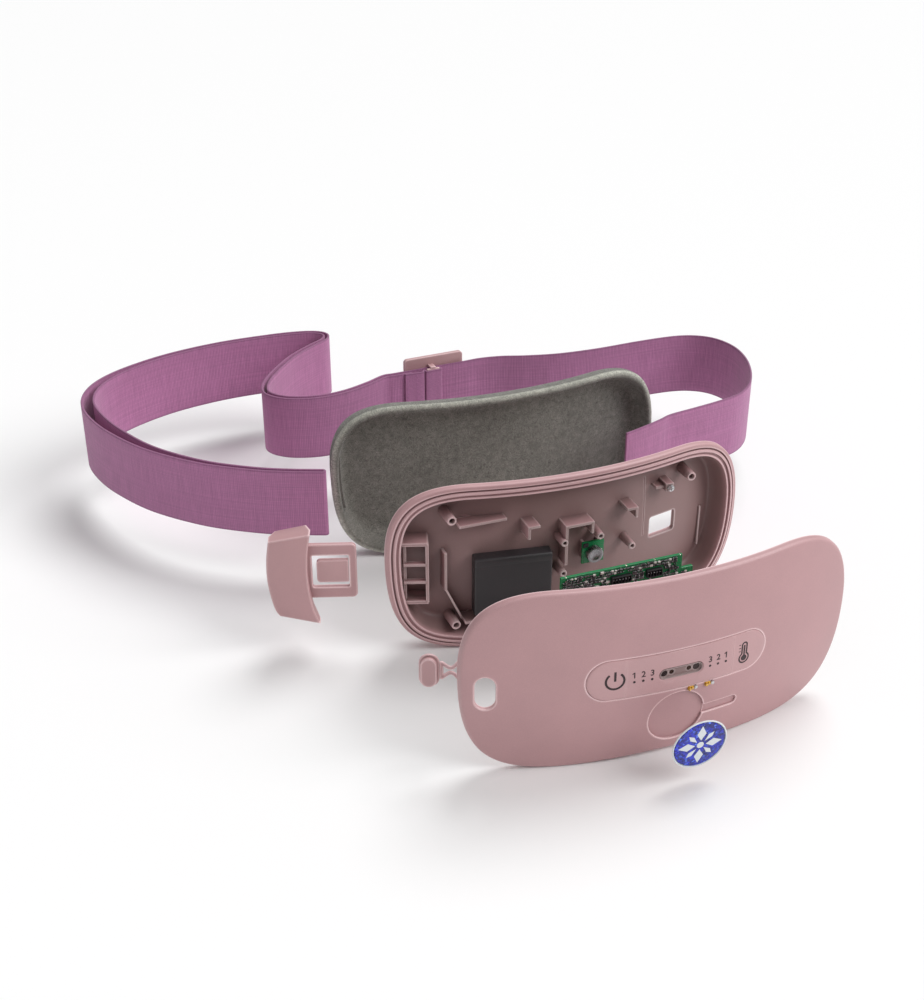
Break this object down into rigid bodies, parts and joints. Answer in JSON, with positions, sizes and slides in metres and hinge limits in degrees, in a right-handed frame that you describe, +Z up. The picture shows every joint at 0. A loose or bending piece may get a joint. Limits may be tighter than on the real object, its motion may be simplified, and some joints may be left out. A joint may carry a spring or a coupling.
{
  "type": "massage belt pod",
  "caption": "Bowed heating and massage pod on an elastic belt, laid out in pieces: cover, board, housing with battery and motor, pad, strap, buckle and release button.",
  "frame": {"origin": "middle of the laid-out pieces' box, on the surface they stand on", "axes": "+X across the pod to its right as worn from the front, +Y from the cover back to the strap, +Z up"},
  "size_m": [0.3886, 0.4124, 0.0905],
  "materials": {
    "shell_pink": "fine matte moulded",
    "inlay_pink": "smooth satin",
    "strap_purple": "woven elastic webbing",
    "pad_felt": "brushed felt",
    "battery_grey": "dull film wrap",
    "board_green": "solder mask",
    "bright_steel": "bright",
    "contact_brass": "bright",
    "chip_black": "moulded epoxy",
    "connector_ivory": "plain",
    "glitter_blue": "glitter under a clear coat",
    "badge_white": "smooth",
    "film_amber": "thin film"
  },
  "bodies": {
    "housing": {"rear_housing": "shell_pink", "battery_pack": "battery_grey", "motor_board": "board_green", "motor_can": "bright_steel", "bracket_screw": "bright_steel", "heating_film": "film_amber"},
    "motor_rotor": {"motor_weight": "contact_brass"},
    "circuit": {"main_board": "board_green", "main_chip": "chip_black", "charge_chip": "chip_black", "power_inductor": "battery_grey", "storage_capacitor": "connector_ivory", "battery_connector": "connector_ivory", "heater_connector": "connector_ivory", "power_switch": "bright_steel", "heat_switch": "bright_steel"},
    "cover": {"front_cover": "shell_pink", "control_panel": "inlay_pink", "charge_port": "shell_pink", "charge_magnet_left": "bright_steel", "charge_magnet_right": "bright_steel", "charge_pin_left": "contact_brass", "charge_pin_right": "contact_brass", "badge_clip_left": "contact_brass", "badge_clip_right": "contact_brass"},
    "power_button": {"power_key": "inlay_pink"},
    "heat_button": {"heat_key": "inlay_pink"},
    "badge": {"badge_dish": "badge_white", "badge_face": "glitter_blue"},
    "release": {"release_spring": "shell_pink"},
    "release_paddle": {"release_button": "inlay_pink"},
    "buckle": {"buckle": "shell_pink", "strap_bar": "bright_steel"},
    "snap": {"snap_tab": "inlay_pink"},
    "strap": {"strap": "strap_purple"},
    "adjuster": {"adjuster": "inlay_pink", "sewn_loop": "strap_purple"},
    "pad": {"rear_pad": "pad_felt"}
  },
  "joints": [
    {"name": "cover_close", "type": "slide", "parent": "housing", "child": "cover", "axis": [0, 1, 0], "range_m": [0, 0.0952]},
    {"name": "board_seat", "type": "slide", "parent": "housing", "child": "circuit", "axis": [0, 1, 0], "range_m": [0, 0.043]},
    {"name": "pad_close", "type": "slide", "parent": "housing", "child": "pad", "axis": [0, -1, 0], "range_m": [0, 0.0905]},
    {"name": "strap_seat", "type": "slide", "parent": "housing", "child": "strap", "axis": [0, -1, 0], "range_m": [0, 0.0602]},
    {"name": "release_seat", "type": "slide", "parent": "cover", "child": "release", "axis": [0.6508, -0.7593, 0], "range_m": [0, 0.02766]},
    {"name": "badge_clip", "type": "slide", "parent": "cover", "child": "badge", "axis": [0, 1, 0], "range_m": [0, 0.0208]},
    {"name": "power_press", "type": "slide", "parent": "cover", "child": "power_button", "axis": [0, 1, 0], "range_m": [0, 0.0005], "stiffness_N_per_m": 300},
    {"name": "heat_press", "type": "slide", "parent": "cover", "child": "heat_button", "axis": [0, 1, 0], "range_m": [0, 0.0005], "stiffness_N_per_m": 300},
    {"name": "release_press", "type": "slide", "parent": "release", "child": "release_paddle", "axis": [0.3618, 0.9322, 0], "range_m": [0, 0.001], "stiffness_N_per_m": 300},
    {"name": "buckle_insert", "type": "slide", "parent": "housing", "child": "buckle", "axis": [0.9511, -0.309, 0], "range_m": [0, 0.033]},
    {"name": "snap_flex", "type": "hinge", "parent": "buckle", "child": "snap", "pos_m": [-0.09539, -0.05058, 0.04386], "axis": [0, 0, -1], "range_deg": [0, 5], "stiffness_Nm_per_rad": 0.2},
    {"name": "adjuster_slide", "type": "slide", "parent": "strap", "child": "adjuster", "axis": [0.9986, 0.0523, 0], "range_m": [-0.006, 0.006]},
    {"name": "motor_spin", "type": "hinge", "parent": "housing", "child": "motor_rotor", "pos_m": [0.0232, -0.07744, 0.04286], "axis": [0, 1, 0], "continuous": true}
  ],
  "couplings": [
    {"joint": "board_seat", "follows": "cover_close", "ratio": 0.45168},
    {"joint": "pad_close", "follows": "cover_close", "ratio": 0.95063},
    {"joint": "strap_seat", "follows": "cover_close", "ratio": 0.63235},
    {"joint": "release_seat", "follows": "cover_close", "ratio": 0.29053}
  ]
}
